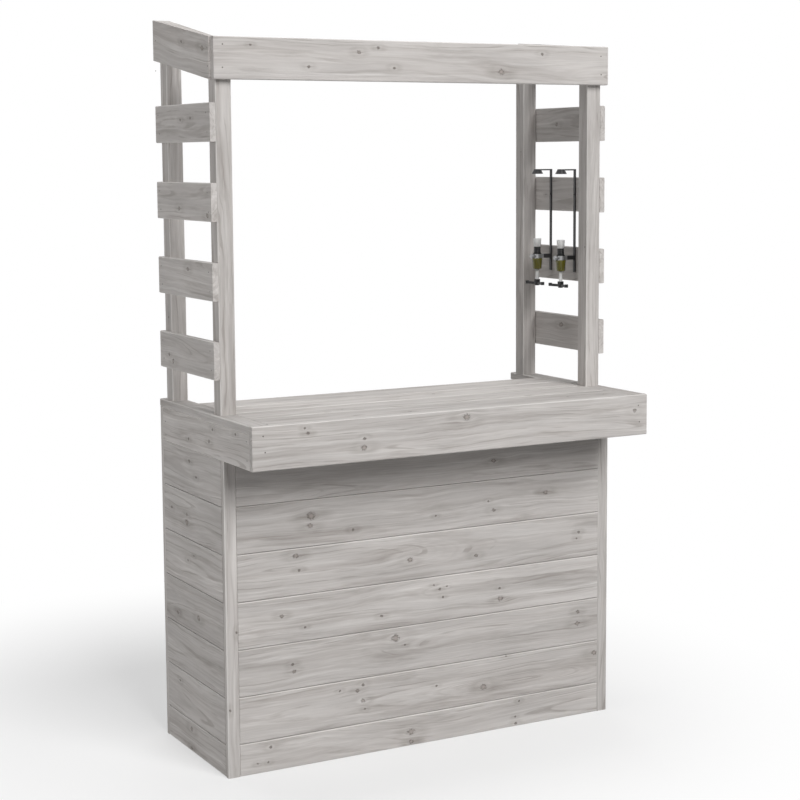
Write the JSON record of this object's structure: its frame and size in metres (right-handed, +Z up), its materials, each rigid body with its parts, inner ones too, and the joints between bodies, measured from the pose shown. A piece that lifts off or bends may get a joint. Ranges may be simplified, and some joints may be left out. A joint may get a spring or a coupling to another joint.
{
  "type": "outdoor garden bar",
  "caption": "Free-standing timber garden bar: boarded base, overhanging counter, slatted side frames, raised header and two wall-hung spirit measures.",
  "frame": {"origin": "on the ground, in the middle of the counter's width and of the overall depth", "axes": "+X to the right as a guest faces the bar, +Y from the guest's side to the rear, +Z up"},
  "size_m": [1.212, 0.625, 1.985],
  "materials": {
    "grey_washed_timber": "grey-washed planed softwood, matt",
    "framing_timber": "planed softwood framing, matt",
    "optic_steel": "black-coated steel, satin",
    "optic_clear_plastic": "clear moulded plastic with a black grip",
    "optic_black_plastic": "black moulded plastic"
  },
  "bodies": {
    "bar": {"base_post_front_left": "framing_timber", "base_post_front_right": "framing_timber", "base_post_rear_left": "framing_timber", "base_post_rear_right": "framing_timber", "front_boards": "grey_washed_timber", "side_boards_left": "grey_washed_timber", "side_boards_right": "grey_washed_timber", "front_trim_left": "grey_washed_timber", "front_trim_right": "grey_washed_timber", "rear_trim_left": "grey_washed_timber", "rear_trim_right": "grey_washed_timber", "front_rails": "framing_timber", "front_studs": "framing_timber", "side_rail_left": "framing_timber", "side_rail_right": "framing_timber", "counter_cross_rail": "framing_timber", "counter_bearers": "framing_timber", "counter_side_bearer_left": "framing_timber", "counter_side_bearer_right": "framing_timber", "counter_front_fascia": "grey_washed_timber", "counter_side_fascia_left": "grey_washed_timber", "counter_side_fascia_right": "grey_washed_timber", "counter_side_board_left": "grey_washed_timber", "counter_side_board_right": "grey_washed_timber", "counter_planks": "grey_washed_timber", "frame_post_front_left": "grey_washed_timber", "frame_post_front_right": "grey_washed_timber", "frame_post_rear_left": "grey_washed_timber", "frame_post_rear_right": "grey_washed_timber", "slat_left_1": "grey_washed_timber", "slat_left_2": "grey_washed_timber", "slat_left_3": "grey_washed_timber", "slat_left_4": "grey_washed_timber", "slat_right_1": "grey_washed_timber", "slat_right_2": "grey_washed_timber", "slat_right_3": "grey_washed_timber", "slat_right_4": "grey_washed_timber", "header_front_beam": "grey_washed_timber", "header_side_left": "grey_washed_timber", "header_side_right": "grey_washed_timber", "header_rail_left": "grey_washed_timber", "header_rail_right": "grey_washed_timber", "optic_bracket_front": "optic_steel", "optic_bracket_rear": "optic_steel", "optic_measure_front": "optic_clear_plastic", "optic_measure_rear": "optic_clear_plastic"},
    "lever_front": {"optic_lever_front": "optic_black_plastic"},
    "lever_rear": {"optic_lever_rear": "optic_black_plastic"}
  },
  "joints": [
    {"name": "lever_front_push", "type": "slide", "parent": "bar", "child": "lever_front", "axis": [0, 0, 1], "range_m": [0, 0.008], "stiffness_N_per_m": 150, "springref_m": -0.004},
    {"name": "lever_rear_push", "type": "slide", "parent": "bar", "child": "lever_rear", "axis": [0, 0, 1], "range_m": [0, 0.008], "stiffness_N_per_m": 150, "springref_m": -0.004}
  ]
}
